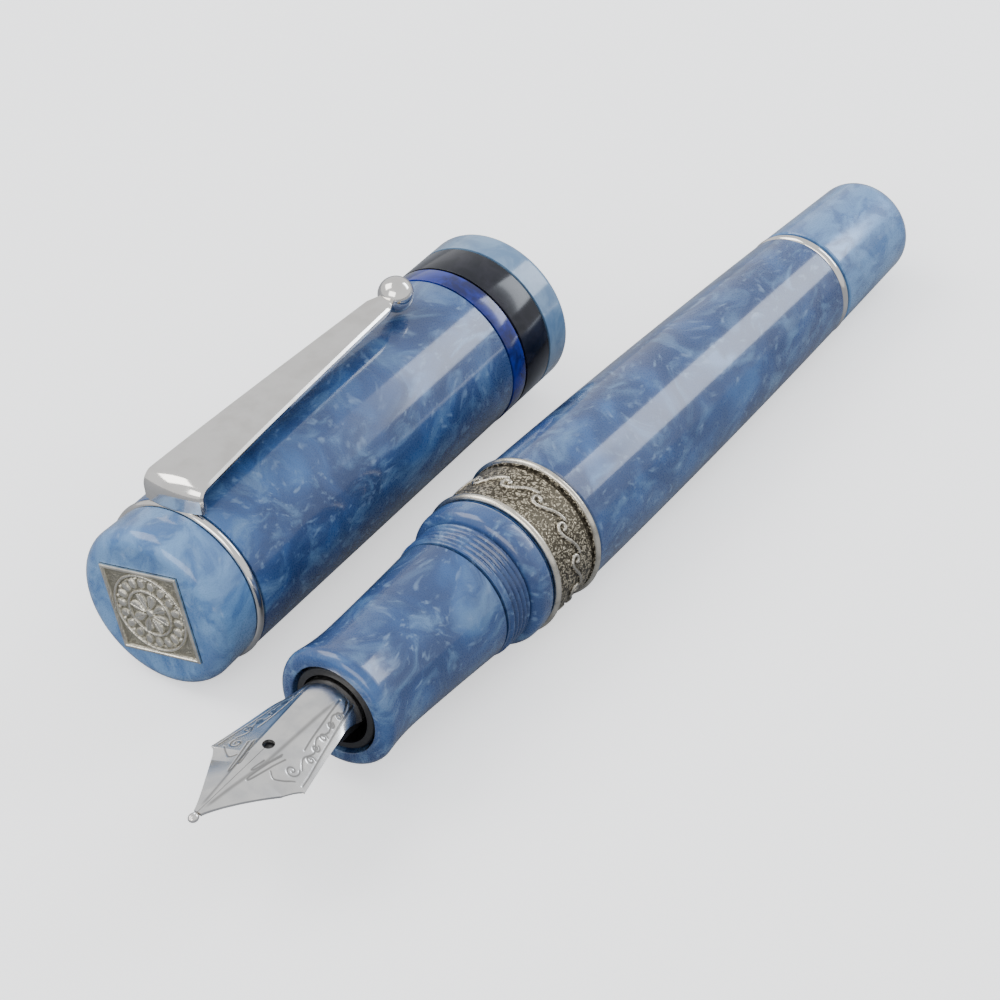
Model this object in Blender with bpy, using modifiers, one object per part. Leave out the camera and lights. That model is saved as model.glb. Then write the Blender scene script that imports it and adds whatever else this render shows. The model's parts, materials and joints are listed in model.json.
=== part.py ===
"""Piston-filling fountain pen lying on a table, with its screw cap off and lying beside it.

The pen lies along +Y with its nib towards -Y, and the cap lies beside it, turned a little, with
its finial towards -Y. Sizes are in millimetres. Along the pen, s is the distance from the rear
edge of the barrel band, positive towards the turning knob; along the cap, s is measured from the
same cross plane.
Turned pieces are drawn about their own Z axis, which an empty lays along +Y.
"""
import math

import bmesh
import bpy
from mathutils import Matrix

MM = 0.001
GAP = 0.3            # between two pieces that touch
FINE_GAP = 0.1       # between ends that almost meet
RUNNING = 0.3        # radial clearance of a piece that turns or slides in another
SIDES = 32           # facets round the large turned pieces
INNER_SIDES = 24     # facets round the pieces inside the barrel

# Barrel, from the band to the ring in front of the turning knob
BARREL_LENGTH = 53.9
BARREL_FRONT_R = 8.2
BARREL_REAR_R = 6.55
BARREL_BULGE = 0.2
BARREL_BORE_R = 5.3

# Band round the joint between the barrel and the threaded collar
BAND_WIDTH = 8.5
BAND_R = 8.3
BAND_FIELD_R = 7.95
BAND_REAR_BEAD = 1.2
BAND_FRONT_BEAD = 0.8
BAND_WALL = 1.2

# Collar with the cap's threads, whose spigot carries the band and fills the barrel's mouth
COLLAR_WIDTH = 3.0
COLLAR_R = 8.05
THREAD_COUNT = 5
THREAD_PITCH = 0.74
THREAD_R = 7.15
THREAD_DEPTH = 0.3
SPIGOT_WALL = 0.9
SPIGOT_IN_BARREL = 9.0

# Grip section
GRIP_LENGTH = 19.9
GRIP_REAR_R = 6.95
GRIP_WAIST_R = 6.3
GRIP_WAIST_FROM_LIP = 5.8
GRIP_LIP_R = 6.7
GRIP_LIP_ROUND = 0.8
GRIP_MOUTH_R = 4.95
GRIP_TAIL = 8.0

# Nib, feed and their housing
HOUSING_WALL = 0.75
HOUSING_LENGTH = 15.0
HOUSING_SET_BACK = 0.3
NIB_REACH = 20.5
NIB_SHOULDER_AT = 11.7
NIB_SHOULDER_HALF = 5.6
NIB_THICKNESS = 0.4
NIB_TAIL = 11.0
NIB_POINT_HALF = 0.5
NIB_FALL = 0.6
NIB_POINT_FALL = 1.0
BREATHER_AT = 9.9
BREATHER_R = 0.95
SLIT_WIDTH = 0.2
PELLET_R = 0.55
FEED_REACH = 16.0

# Piston filler inside the barrel
CHAMBER_WALL = 0.6
CHAMBER_LENGTH = 34.0
SEAL_RING_R = 0.6
SEAL_FRONT = 22.0
SEAL_LENGTH = 4.0
ROD_R = 3.0
GUIDE_LENGTH = 3.5
ROD_END = 2.0
SPINDLE_R = 1.55
SPINDLE_IN_ROD = 21.0
SPINDLE_IN_KNOB = 7.0
BUSH_LENGTH = 2.2

# Turning knob and the thin ring in front of it
RING_WIDTH = 1.2
RING_R = 6.6
KNOB_LENGTH = 16.6
KNOB_FRONT_R = 6.55
KNOB_REAR_R = 5.95
KNOB_ROUND = 2.6

# Cap
CAP_SPACING = 24.0
CAP_YAW = 1.0
CAP_R = 9.5
CAP_TUBE_SET_IN = 0.08
CAP_BORE_R = 8.35
CAP_TUBE_FRONT = -27.8
CAP_TUBE_LENGTH = 45.3
BLUE_BAND_WIDTH = 2.5
BLACK_BAND_WIDTH = 4.6
LIP_WIDTH = 3.8
LIP_ROUND = 0.8
INNER_CAP_R = 7.15
INNER_CAP_FLOOR = 2.0
INNER_CAP_LENGTH = 38.0
SLEEVE_LENGTH = 10.6
SLEEVE_R = 7.45
CLIP_RING_WIDTH = 1.0
FINIAL_LENGTH = 5.3
FINIAL_ROUND = 1.8
STUD_R = 2.9
BADGE_SIDE = 10.2
BADGE_THICKNESS = 1.3
BADGE_PROUD = 0.35
BADGE_RAISE = 0.3
BADGE_MEDAL_R = 4.0
BADGE_FRAME = 1.0
BADGE_ANGLE = -14.0

# Clip
CLIP_ANGLE = -6.5
CLIP_ROOT_HALF = 3.8
CLIP_NECK_HALF = 1.5
CLIP_LENGTH = 37.0
CLIP_THICKNESS = 1.3
CLIP_RISE = 1.3
CLIP_BEND = 4.5
BALL_R = 2.0

# Places that follow from the sizes above
BAND_FRONT = -BAND_WIDTH
COLLAR_FRONT = BAND_FRONT - COLLAR_WIDTH
THREAD_FRONT = COLLAR_FRONT - THREAD_COUNT * THREAD_PITCH
GRIP_REAR = THREAD_FRONT - GAP
LIP_FRONT = GRIP_REAR - GRIP_LENGTH
SPIGOT_R = BAND_R - BAND_WALL - GAP
SPIGOT_BORE_R = SPIGOT_R - SPIGOT_WALL
HOUSING_R = GRIP_MOUTH_R - GAP
HOUSING_BORE_R = HOUSING_R - HOUSING_WALL
NIB_R = HOUSING_BORE_R - GAP
CHAMBER_R = BARREL_BORE_R - GAP
CHAMBER_BORE_R = CHAMBER_R - CHAMBER_WALL
CHAMBER_FRONT = BAND_FRONT + GRIP_TAIL / 2 + 2 * GAP
ROD_FRONT = SEAL_FRONT + SEAL_LENGTH + GAP
ROD_REAR = BARREL_LENGTH - GAP - BUSH_LENGTH - FINE_GAP
ROD_LENGTH = ROD_REAR - ROD_FRONT
ROD_BORE_R = SPINDLE_R + RUNNING
GUIDE_FRONT = CHAMBER_FRONT + CHAMBER_LENGTH + GAP
RING_FRONT = BARREL_LENGTH + GAP / 2
RING_REAR = RING_FRONT + RING_WIDTH
KNOB_FRONT = RING_REAR + GAP
KNOB_REAR = KNOB_FRONT + KNOB_LENGTH
CAP_TUBE_R = CAP_R - CAP_TUBE_SET_IN
CAP_TUBE_REAR = CAP_TUBE_FRONT + CAP_TUBE_LENGTH
BLUE_FRONT = CAP_TUBE_REAR + GAP / 2
BLACK_FRONT = BLUE_FRONT + BLUE_BAND_WIDTH + GAP / 2
LIP_BAND_FRONT = BLACK_FRONT + BLACK_BAND_WIDTH + GAP / 2
CAP_MOUTH = LIP_BAND_FRONT + LIP_WIDTH
CLIP_RING_FRONT = CAP_TUBE_FRONT - GAP / 2 - CLIP_RING_WIDTH
FINIAL_FRONT = CLIP_RING_FRONT - GAP / 2 - FINIAL_LENGTH
INSIDE_CAP_R = CAP_BORE_R - GAP
SLEEVE_REAR = CAP_MOUTH - COLLAR_WIDTH - GAP
INNER_CAP_REAR = SLEEVE_REAR - SLEEVE_LENGTH - GAP
INNER_CAP_FRONT = INNER_CAP_REAR - INNER_CAP_LENGTH
NIB_TIP = LIP_FRONT - NIB_REACH - FINE_GAP - 2 * PELLET_R
BALL_HEIGHT = CAP_R + GAP + BALL_R
CLIP_HINGE = CLIP_RING_FRONT + CLIP_RING_WIDTH / 2

# Colour (linear), metallic and roughness of each kind of material
RESIN = ((0.09, 0.17, 0.36, 1), 0.0, 0.15)
PALE_RESIN = ((0.35, 0.45, 0.62, 1), 0.0, 0.2)
BLUE_RESIN = ((0.02, 0.07, 0.45, 1), 0.0, 0.1)
BLACK = ((0.012, 0.012, 0.014, 1), 0.0, 0.3)
SILVER = ((0.72, 0.69, 0.64, 1), 1.0, 0.2)
STEEL = ((0.62, 0.61, 0.6, 1), 1.0, 0.18)
BRASS = ((0.62, 0.45, 0.2, 1), 1.0, 0.3)
RUBBER = ((0.02, 0.02, 0.02, 1), 0.0, 0.7)


# ---------------------------------------------------------------- scene and helpers

def clear_scene():
    for item in list(bpy.data.objects):
        bpy.data.objects.remove(item, do_unlink=True)


def new_collection(name):
    collection = bpy.data.collections.new(name)
    bpy.context.scene.collection.children.link(collection)
    return collection


def material(name, look):
    colour, metallic, roughness = look
    made = bpy.data.materials.new(name)
    made.use_nodes = True
    shader = made.node_tree.nodes["Principled BSDF"]
    shader.inputs["Base Color"].default_value = colour
    shader.inputs["Metallic"].default_value = metallic
    shader.inputs["Roughness"].default_value = roughness
    return made


def add_empty(name, location_mm, rotation=(0, 0, 0), parent=None):
    empty = bpy.data.objects.new(name, None)
    empty.empty_display_size = 5 * MM
    parts.objects.link(empty)
    empty.location = [value * MM for value in location_mm]
    empty.rotation_euler = rotation
    empty.parent = parent
    return empty


def add_piece(name, mesh, parent, look, collection=None):
    piece = bpy.data.objects.new(name, mesh)
    (collection or parts).objects.link(piece)
    piece.parent = parent
    mesh.materials.append(material(name, look))
    return piece


def mesh_from(name, bm):
    mesh = bpy.data.meshes.new(name)
    bmesh.ops.recalc_face_normals(bm, faces=bm.faces)
    bm.to_mesh(mesh)
    bm.free()
    mesh.shade_smooth()
    mesh.set_sharp_from_angle(angle=math.radians(35))
    return mesh


def arc(centre_r, centre_s, radius, start_deg, end_deg, points=4):
    """(r, s) points on an arc, its angle measured from +r towards +s."""
    out = []
    for index in range(points + 1):
        angle = math.radians(start_deg + (end_deg - start_deg) * index / points)
        out.append((centre_r + radius * math.cos(angle), centre_s + radius * math.sin(angle)))
    return out


def turned(name, outline, parent, look, closed=True, sides=SIDES, collection=None):
    """Turn an outline of (r, s) points, which runs down the outer side from rear to front."""
    bm = bmesh.new()
    verts = [bm.verts.new((r * MM, 0, s * MM)) for r, s in outline]
    for first, second in zip(verts, verts[1:]):
        bm.edges.new((first, second))
    if closed:
        bm.edges.new((verts[-1], verts[0]))
    mesh = bpy.data.meshes.new(name)
    bm.to_mesh(mesh)
    bm.free()
    piece = add_piece(name, mesh, parent, look, collection)
    screw = piece.modifiers.new("turn", "SCREW")
    screw.axis = "Z"
    screw.steps = sides
    screw.render_steps = sides
    screw.use_merge_vertices = True
    screw.merge_threshold = 0.00001
    screw.use_smooth_shade = True
    return piece


def tube(name, outer_r, inner_r, front, rear, parent, look, sides=SIDES):
    outline = [(outer_r, rear), (outer_r, front), (inner_r, front), (inner_r, rear)]
    return turned(name, outline, parent, look, sides=sides)


def cut(piece, cutter):
    cutter.display_type = "WIRE"
    cutter.hide_render = True
    boolean = piece.modifiers.new("cut", "BOOLEAN")
    boolean.operation = "DIFFERENCE"
    boolean.object = cutter


def lofted(name, sections, parent, look):
    """Skin closed sections of equal point counts, and close both ends."""
    bm = bmesh.new()
    rings = [[bm.verts.new([value * MM for value in point]) for point in ring] for ring in sections]
    count = len(rings[0])
    for lower, upper in zip(rings, rings[1:]):
        for index in range(count):
            after = (index + 1) % count
            bm.faces.new((lower[index], lower[after], upper[after], upper[index]))
    bm.faces.new(rings[0])
    bm.faces.new(rings[-1])
    return add_piece(name, mesh_from(name, bm), parent, look)


# ---------------------------------------------------------------- pen body

def barrel_radius(s):
    t = s / BARREL_LENGTH
    return BARREL_FRONT_R + (BARREL_REAR_R - BARREL_FRONT_R) * t + 4 * BARREL_BULGE * t * (1 - t)


def barrel_stations(count=9):
    front = GAP / 2
    return [front + (BARREL_LENGTH - front) * index / (count - 1) for index in range(count)]


def make_barrel(parent):
    outline = [(barrel_radius(s), s) for s in reversed(barrel_stations())]
    mouth_r = SPIGOT_R + GAP
    step = SPIGOT_IN_BARREL + GAP
    outline += [(mouth_r, GAP / 2), (mouth_r, step), (BARREL_BORE_R, step), (BARREL_BORE_R, BARREL_LENGTH)]
    turned("barrel", outline, parent, RESIN)


def make_band(parent):
    rear = -GAP / 2
    front = BAND_FRONT + GAP / 2
    rear_bead = rear - BAND_REAR_BEAD
    front_bead = front + BAND_FRONT_BEAD
    slope = BAND_R - BAND_FIELD_R
    bore_r = BAND_R - BAND_WALL
    outline = [(BAND_FIELD_R, rear), (BAND_R, rear - slope), (BAND_R, rear_bead)]
    outline += [(BAND_FIELD_R, rear_bead - slope), (BAND_FIELD_R, front_bead + slope)]
    outline += [(BAND_R, front_bead), (BAND_R, front + slope), (BAND_FIELD_R, front)]
    outline += [(bore_r, front), (bore_r, rear)]
    turned("barrel_band", outline, parent, SILVER)


def make_thread_collar(parent):
    shoulder = BAND_FRONT - GAP / 2
    outline = [(SPIGOT_R, SPIGOT_IN_BARREL), (SPIGOT_R, shoulder), (COLLAR_R, shoulder),
               (COLLAR_R, COLLAR_FRONT + THREAD_DEPTH), (COLLAR_R - THREAD_DEPTH, COLLAR_FRONT)]
    root_r = THREAD_R - THREAD_DEPTH
    for turn in range(THREAD_COUNT):
        rear = COLLAR_FRONT - turn * THREAD_PITCH
        outline += [(root_r, rear), (THREAD_R, rear - THREAD_PITCH / 2)]
    outline += [(root_r, THREAD_FRONT), (SPIGOT_BORE_R, THREAD_FRONT), (SPIGOT_BORE_R, SPIGOT_IN_BARREL)]
    turned("thread_collar", outline, parent, RESIN)


def grip_radius(s):
    waist = LIP_FRONT + GRIP_WAIST_FROM_LIP
    if s >= waist:
        share = (s - waist) / (GRIP_REAR - waist)
        return GRIP_WAIST_R + (GRIP_REAR_R - GRIP_WAIST_R) * share ** 1.3
    flare_end = LIP_FRONT + GRIP_LIP_ROUND
    share = (waist - s) / (waist - flare_end)
    return GRIP_WAIST_R + (GRIP_LIP_R - GRIP_WAIST_R) * share ** 2


def make_grip_section(parent):
    tail_r = SPIGOT_BORE_R - GAP
    flare_end = LIP_FRONT + GRIP_LIP_ROUND
    outline = [(tail_r, GRIP_REAR + GRIP_TAIL), (tail_r, GRIP_REAR)]
    stations = 9
    for index in range(stations):
        s = GRIP_REAR + (flare_end - GRIP_REAR) * index / (stations - 1)
        outline.append((grip_radius(s), s))
    outline += arc(GRIP_LIP_R - GRIP_LIP_ROUND, flare_end, GRIP_LIP_ROUND, 0, -90, 3)[1:]
    outline += [(GRIP_MOUTH_R, LIP_FRONT), (GRIP_MOUTH_R, GRIP_REAR + GRIP_TAIL)]
    turned("grip_section", outline, parent, RESIN)


def make_housing(parent):
    front = LIP_FRONT + HOUSING_SET_BACK
    rear = front + HOUSING_LENGTH
    tube("nib_housing", HOUSING_R, HOUSING_BORE_R, front, rear, parent, BLACK, INNER_SIDES)


# ---------------------------------------------------------------- nib and feed

def blend(stations, distance):
    """Value at a distance on a chain of (distance, value) stations, eased between them."""
    for (near, low), (far, high) in zip(stations, stations[1:]):
        if distance <= far:
            share = max(0.0, (distance - near) / (far - near))
            return low + (high - low) * share * share * (3 - 2 * share)
    return stations[-1][1]


def nib_section(distance):
    """Half width, height of the ridge over the axis, and arc radius of the nib's section."""
    at = NIB_SHOULDER_AT
    end = NIB_REACH
    half = blend([(0, NIB_R * 0.96), (at, NIB_SHOULDER_HALF), (end, NIB_POINT_HALF)], distance)
    ridge = blend([(0, NIB_R), (at, NIB_R - NIB_FALL), (end, NIB_R - NIB_POINT_FALL)], distance)
    drop = blend([(0, NIB_R * 0.8), (at, NIB_SHOULDER_HALF * 0.4), (end, 0.1 * NIB_POINT_HALF)], distance)
    return half, ridge, (half * half + drop * drop) / (2 * drop)


def make_nib(parent):
    across = 10
    stations = [-NIB_TAIL, -HOUSING_SET_BACK - GAP, 0]
    stations += [NIB_REACH * index / 12 for index in range(1, 13)]
    bm = bmesh.new()
    rows = []
    for distance in stations:
        half, ridge, radius = nib_section(max(distance, 0))
        reach = math.asin(min(1.0, half / radius))
        row = []
        for index in range(across + 1):
            angle = reach * (2 * index / across - 1)
            x = radius * math.sin(angle)
            height = ridge - radius + radius * math.cos(angle)
            row.append(bm.verts.new((x * MM, -height * MM, (LIP_FRONT - distance) * MM)))
        rows.append(row)
    for near, far in zip(rows, rows[1:]):
        for index in range(across):
            bm.faces.new((near[index], near[index + 1], far[index + 1], far[index]))
    mesh = mesh_from("nib", bm)
    nib = add_piece("nib", mesh, parent, STEEL)
    if mesh.polygons[0].normal.y > 0:
        mesh.flip_normals()
    plate = nib.modifiers.new("plate", "SOLIDIFY")
    plate.thickness = NIB_THICKNESS * MM
    plate.offset = -1
    bpy.ops.mesh.primitive_cylinder_add(vertices=16, radius=BREATHER_R * MM, depth=4 * NIB_R * MM)
    hole = take_cutter("breather_cutter", parent)
    hole.rotation_euler = (math.pi / 2, 0, 0)
    hole.location = (0, 0, (LIP_FRONT - BREATHER_AT) * MM)
    cut(nib, hole)
    bpy.ops.mesh.primitive_cube_add(size=1)
    slit = take_cutter("slit_cutter", parent)
    slit_length = NIB_REACH - BREATHER_AT + 1
    slit.scale = (SLIT_WIDTH * MM, 4 * NIB_R * MM, slit_length * MM)
    slit.location = (0, 0, (LIP_FRONT - BREATHER_AT - slit_length / 2) * MM)
    cut(nib, slit)


def take_cutter(name, parent):
    cutter = bpy.context.object
    cutter.name = name
    for collection in cutter.users_collection:
        collection.objects.unlink(cutter)
    cutters.objects.link(cutter)
    cutter.parent = parent
    return cutter


def make_pellet(parent):
    _, ridge, _ = nib_section(NIB_REACH)
    bm = bmesh.new()
    bmesh.ops.create_uvsphere(bm, u_segments=12, v_segments=8, radius=PELLET_R * MM)
    pellet = add_piece("nib_point", mesh_from("nib_point", bm), parent, STEEL)
    height = ridge - NIB_THICKNESS / 2
    pellet.location = (0, -height * MM, (LIP_FRONT - NIB_REACH - FINE_GAP - PELLET_R) * MM)


def make_feed(parent):
    """The ink feed, whose top follows the underside of the nib and whose keel tapers forward."""
    belly_r = HOUSING_BORE_R - GAP
    top_points = 7
    stations = [-HOUSING_LENGTH + 1, 0] + [FEED_REACH * index / 7 for index in range(1, 8)]
    sections = []
    for distance in stations:
        half, ridge, radius = nib_section(max(distance, 0))
        share = max(0.0, distance / FEED_REACH)
        width = min(half - 2 * GAP, belly_r * 0.8) * (1 - 0.8 * share ** 2)
        depth = belly_r * (1 - 1.1 * share ** 1.4)
        under = radius - NIB_THICKNESS - GAP
        ring = []
        for index in range(top_points):
            x = width * (2 * index / (top_points - 1) - 1)
            height = ridge - radius + math.sqrt(max(under * under - x * x, 0))
            ring.append((x, -height, LIP_FRONT - distance))
        side = -ring[0][1]
        for index in range(1, top_points):
            angle = math.pi * index / top_points
            low = -side + (side + depth) * math.sin(angle)
            ring.append((width * math.cos(angle), low, LIP_FRONT - distance))
        sections.append(ring)
    lofted("feed", sections, parent, BLACK)


# ---------------------------------------------------------------- filler

def make_chamber(parent):
    rear = CHAMBER_FRONT + CHAMBER_LENGTH
    tube("ink_chamber", CHAMBER_R, CHAMBER_BORE_R, CHAMBER_FRONT, rear, parent, PALE_RESIN, INNER_SIDES)
    centre_s = CHAMBER_FRONT - GAP - SEAL_RING_R
    outline = arc(CHAMBER_R - SEAL_RING_R, centre_s, SEAL_RING_R, 90, -270, 8)[:-1]
    turned("section_seal", outline, parent, RUBBER, sides=INNER_SIDES)


def make_guide(parent):
    guide = tube("piston_guide", CHAMBER_R, ROD_R / 2, GUIDE_FRONT, GUIDE_FRONT + GUIDE_LENGTH, parent,
                 BRASS, INNER_SIDES)
    bore_r = ROD_R + RUNNING
    bpy.ops.mesh.primitive_cylinder_add(vertices=6, radius=bore_r * MM, depth=3 * GUIDE_LENGTH * MM)
    hexagon = take_cutter("guide_cutter", parent)
    hexagon.location = (0, 0, (GUIDE_FRONT + GUIDE_LENGTH / 2) * MM)
    cut(guide, hexagon)


def make_bush(parent):
    rear = BARREL_LENGTH - GAP
    bore_r = SPINDLE_R + RUNNING
    tube("spindle_bush", CHAMBER_R, bore_r, rear - BUSH_LENGTH, rear, parent, BRASS, INNER_SIDES)


def make_piston(parent):
    seal_r = CHAMBER_BORE_R - RUNNING
    rear = SEAL_FRONT + SEAL_LENGTH
    waist_r = seal_r - SEAL_RING_R
    middle = SEAL_FRONT + SEAL_LENGTH / 2
    outline = [(0, rear), (waist_r, rear), (seal_r, rear - SEAL_RING_R), (waist_r, middle),
               (seal_r, SEAL_FRONT + SEAL_RING_R), (waist_r, SEAL_FRONT), (0, SEAL_FRONT)]
    turned("piston_seal", outline, parent, RUBBER, closed=False, sides=INNER_SIDES)
    bm = bmesh.new()
    centre = Matrix.Translation((0, 0, (ROD_FRONT + ROD_REAR) / 2 * MM))
    bmesh.ops.create_cone(bm, cap_ends=True, segments=6, radius1=ROD_R * MM, radius2=ROD_R * MM,
                          depth=ROD_LENGTH * MM, matrix=centre)
    rod = add_piece("piston_rod", mesh_from("piston_rod", bm), parent, BRASS)
    bore_depth = ROD_LENGTH - ROD_END
    bpy.ops.mesh.primitive_cylinder_add(vertices=16, radius=ROD_BORE_R * MM, depth=2 * bore_depth * MM)
    bore = take_cutter("rod_bore_cutter", parent)
    bore.location = (0, 0, ROD_REAR * MM)
    cut(rod, bore)


def make_knob(parent):
    spindle_front = ROD_REAR - SPINDLE_IN_ROD
    spindle_rear = KNOB_FRONT + SPINDLE_IN_KNOB
    outline = [(0, spindle_rear), (SPINDLE_R, spindle_rear), (SPINDLE_R, spindle_front), (0, spindle_front)]
    turned("spindle", outline, parent, BRASS, closed=False, sides=16)
    bore_r = SPINDLE_R + GAP
    bore_end = spindle_rear + GAP
    outline = [(0, KNOB_REAR)] + arc(KNOB_REAR_R - KNOB_ROUND, KNOB_REAR - KNOB_ROUND, KNOB_ROUND, 90, 0, 4)
    outline += [(KNOB_FRONT_R, KNOB_FRONT + GAP), (KNOB_FRONT_R - GAP, KNOB_FRONT)]
    outline += [(bore_r, KNOB_FRONT), (bore_r, bore_end), (0, bore_end)]
    turned("turning_knob", outline, parent, RESIN, closed=False)


def make_knob_ring(parent):
    edge = GAP / 2
    bore_r = SPINDLE_R + RUNNING
    outline = [(RING_R - edge, RING_REAR), (RING_R, RING_REAR - edge), (RING_R, RING_FRONT + edge),
               (RING_R - edge, RING_FRONT), (bore_r, RING_FRONT), (bore_r, RING_REAR)]
    turned("knob_ring", outline, parent, SILVER)


# ---------------------------------------------------------------- cap

def make_cap_tube(parent):
    edge = CAP_R - CAP_TUBE_R
    outline = [(CAP_TUBE_R, CAP_TUBE_REAR), (CAP_TUBE_R, CAP_TUBE_FRONT), (CAP_BORE_R, CAP_TUBE_FRONT),
               (CAP_BORE_R, CAP_TUBE_REAR)]
    turned("cap_tube", outline, parent, RESIN)
    bands = (("cap_blue_band", BLUE_FRONT, BLACK_FRONT, BLUE_RESIN),
             ("cap_black_band", BLACK_FRONT, LIP_BAND_FRONT, BLACK))
    for name, front, back, look in bands:
        rear = back - GAP
        outline = [(CAP_R - edge, rear), (CAP_R, rear - edge), (CAP_R, front + edge)]
        outline += [(CAP_R - edge, front), (CAP_BORE_R, front), (CAP_BORE_R, rear)]
        turned(name, outline, parent, look)


def make_cap_lip(parent):
    centre = CAP_MOUTH - LIP_ROUND
    outline = arc(CAP_R - LIP_ROUND, centre, LIP_ROUND, 90, 0, 3)
    outline += [(CAP_R, LIP_BAND_FRONT), (CAP_BORE_R, LIP_BAND_FRONT), (CAP_BORE_R, CAP_MOUTH)]
    turned("cap_lip", outline, parent, PALE_RESIN)


def make_cap_inside(parent):
    """The sleeve with the female thread, and the closed inner cap that keeps the nib moist."""
    front = SLEEVE_REAR - SLEEVE_LENGTH
    tube("cap_thread_sleeve", INSIDE_CAP_R, SLEEVE_R, front, SLEEVE_REAR, parent, BLACK)
    floor = INNER_CAP_FRONT + INNER_CAP_FLOOR
    outline = [(0, floor), (INNER_CAP_R, floor), (INNER_CAP_R, INNER_CAP_REAR)]
    outline += [(INSIDE_CAP_R, INNER_CAP_REAR), (INSIDE_CAP_R, INNER_CAP_FRONT), (0, INNER_CAP_FRONT)]
    turned("inner_cap", outline, parent, BLACK, closed=False)


def make_finial(parent):
    edge = GAP / 2
    ring_rear = CLIP_RING_FRONT + CLIP_RING_WIDTH
    bore_r = STUD_R + GAP
    outline = [(CAP_R - edge, ring_rear), (CAP_R, ring_rear - edge), (CAP_R, CLIP_RING_FRONT + edge),
               (CAP_R - edge, CLIP_RING_FRONT), (bore_r, CLIP_RING_FRONT), (bore_r, ring_rear)]
    turned("clip_ring", outline, parent, SILVER)
    rear = FINIAL_FRONT + FINIAL_LENGTH
    finial_r = CAP_TUBE_R - GAP / 2
    stud_end = FINIAL_FRONT + BADGE_THICKNESS + 2 * GAP
    outline = [(bore_r, rear), (finial_r, rear)]
    outline += arc(finial_r - FINIAL_ROUND, FINIAL_FRONT + FINIAL_ROUND, FINIAL_ROUND, 0, -90, 5)
    outline += [(0, FINIAL_FRONT), (0, stud_end + GAP), (bore_r, stud_end + GAP)]
    finial = turned("finial", outline, parent, RESIN, closed=True)
    stud_rear = INNER_CAP_FRONT - GAP
    stud_front = stud_end + 2 * GAP
    stud = [(0, stud_rear), (STUD_R, stud_rear), (STUD_R, stud_front), (0, stud_front)]
    turned("finial_stud", stud, parent, BRASS, closed=False, sides=16)
    return finial


def make_badge(finial, parent):
    """A square plate with a raised frame and a raised round medallion, let into the finial."""
    recess_depth = BADGE_THICKNESS - BADGE_PROUD + GAP
    bpy.ops.mesh.primitive_cube_add(size=1)
    recess = take_cutter("recess_cutter", parent)
    recess.scale = ((BADGE_SIDE + 2 * GAP) * MM, (BADGE_SIDE + 2 * GAP) * MM, 2 * recess_depth * MM)
    recess.location = (0, 0, FINIAL_FRONT * MM)
    cut(finial, recess)
    bm = bmesh.new()
    bmesh.ops.create_cube(bm, size=1)
    bmesh.ops.scale(bm, vec=(BADGE_SIDE * MM, BADGE_SIDE * MM, BADGE_THICKNESS * MM), verts=bm.verts)
    badge = add_piece("finial_badge", mesh_from("finial_badge", bm), parent, SILVER)
    badge.location = (0, 0, (FINIAL_FRONT - BADGE_PROUD + BADGE_THICKNESS / 2) * MM)
    side = BADGE_SIDE - 2 * BADGE_FRAME
    front = FINIAL_FRONT - BADGE_PROUD
    corner_r = side / math.sqrt(2)
    bpy.ops.mesh.primitive_cylinder_add(vertices=4, radius=corner_r * MM, depth=2 * BADGE_RAISE * MM)
    field = take_cutter("badge_field_cutter", parent)
    field.rotation_euler = (0, 0, math.pi / 4)
    field.location = (0, 0, front * MM)
    bpy.ops.mesh.primitive_cylinder_add(vertices=SIDES, radius=BADGE_MEDAL_R * MM,
                                        depth=4 * BADGE_RAISE * MM)
    medal = take_cutter("badge_medal_keep", parent)
    medal.location = (0, 0, front * MM)
    cut(field, medal)
    cut(badge, field)


# ---------------------------------------------------------------- clip

def clip_section(distance):
    """Half width and height of the top over the cap's axis, at a distance from the root."""
    share = distance / CLIP_LENGTH
    half = CLIP_ROOT_HALF + (CLIP_NECK_HALF - CLIP_ROOT_HALF) * share ** 0.9
    base = CAP_R + GAP + CLIP_THICKNESS
    top = base + CLIP_RISE * math.sin(math.pi / 2 * min(1.0, distance / CLIP_BEND))
    return half, top


def make_clip(parent):
    """The strip is lofted in the clip's frame: X across, Y down into the cap, Z towards the mouth."""
    chamfer = 0.35 * CLIP_THICKNESS
    stations = [CLIP_BEND * k / 4 for k in range(5)]
    stations += [CLIP_BEND + (CLIP_LENGTH - CLIP_BEND) * k / 6 for k in range(1, 7)]
    sections = []
    for distance in stations:
        half, top = clip_section(distance)
        low = top - CLIP_THICKNESS
        inner = half - chamfer
        right = [(inner, top), (half, top - chamfer), (half, low + chamfer / 2), (inner, low)]
        left = [(-x, height) for x, height in reversed(right)]
        sections.append([(x, CAP_R - height, distance) for x, height in right + left])
    lofted("clip_arm", sections, parent, SILVER)
    bm = bmesh.new()
    bmesh.ops.create_uvsphere(bm, u_segments=16, v_segments=10, radius=BALL_R * MM)
    ball = add_piece("clip_ball", mesh_from("clip_ball", bm), parent, SILVER)
    ball.location = (0, (CAP_R - BALL_HEIGHT) * MM, (CLIP_LENGTH + GAP + BALL_R) * MM)


# ---------------------------------------------------------------- layout

def pen_slope():
    """Sine of the pen's lean: it lies on the band and on the fullest part of the barrel."""
    bead = -GAP / 2 - (BAND_R - BAND_FIELD_R)
    return min((BAND_R - barrel_radius(s)) / (s - bead) for s in barrel_stations() if s > BAND_WIDTH)


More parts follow.
